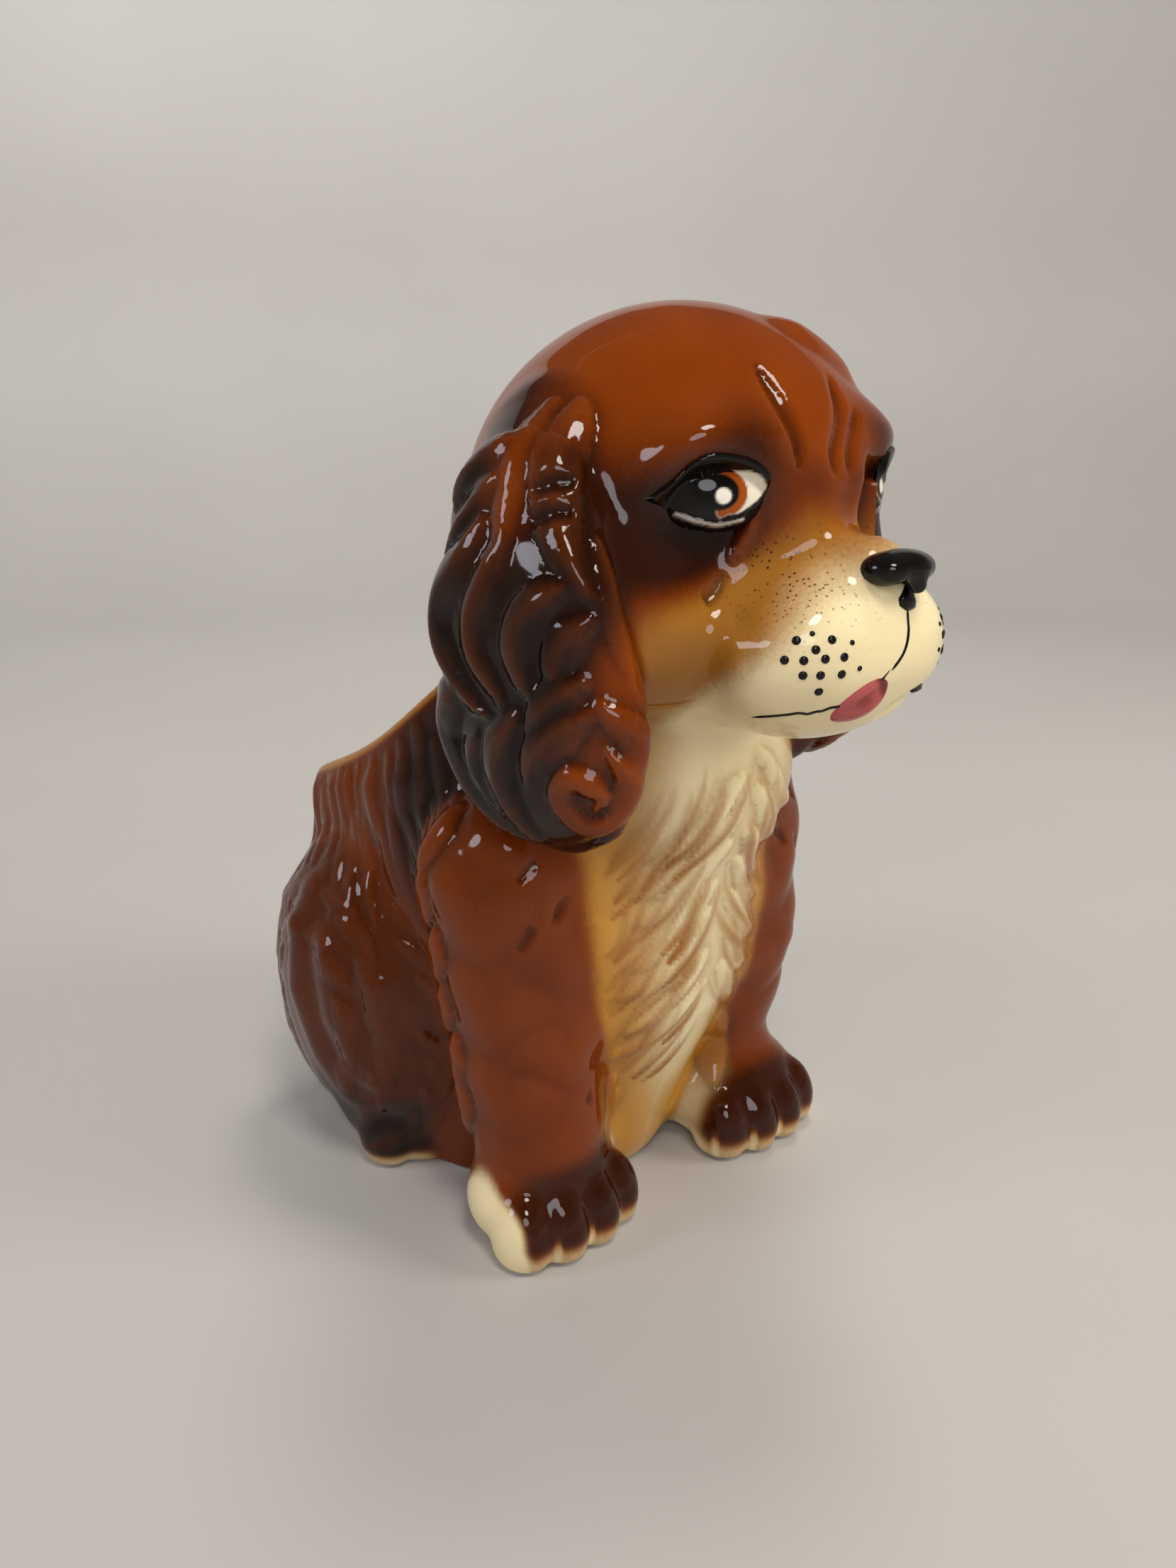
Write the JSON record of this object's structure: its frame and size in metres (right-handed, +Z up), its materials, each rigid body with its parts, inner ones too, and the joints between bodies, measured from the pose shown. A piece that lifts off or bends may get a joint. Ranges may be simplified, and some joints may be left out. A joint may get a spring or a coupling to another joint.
{
  "type": "dog figurine",
  "caption": "Seated spaniel puppy in glossy glazed earthenware, hollow cast, with an open planting hollow behind its neck.",
  "frame": {"origin": "centre of the figure's outline on the surface it stands on", "axes": "+Z up; the dog faces -Y and its left side is +X"},
  "size_m": [0.1132, 0.1558, 0.1875],
  "materials": {
    "sienna_glaze": "clear glossy glaze over a sienna brown stain with cream on the chest",
    "chestnut_glaze": "clear glossy glaze over a chestnut brown stain, cream on the muzzle",
    "umber_glaze": "clear glossy glaze over a dark umber stain",
    "black_enamel": "glossy black overglaze enamel",
    "rose_enamel": "glossy rose overglaze enamel"
  },
  "bodies": {
    "root": {"body_pot": "sienna_glaze", "head": "chestnut_glaze", "left_ear": "umber_glaze", "right_ear": "umber_glaze", "left_foreleg": "chestnut_glaze", "right_foreleg": "chestnut_glaze", "left_hind_leg": "umber_glaze", "right_hind_leg": "umber_glaze", "tail": "umber_glaze", "nose": "black_enamel", "tongue": "rose_enamel", "left_eye": "black_enamel", "right_eye": "black_enamel"}
  },
  "joints": []
}
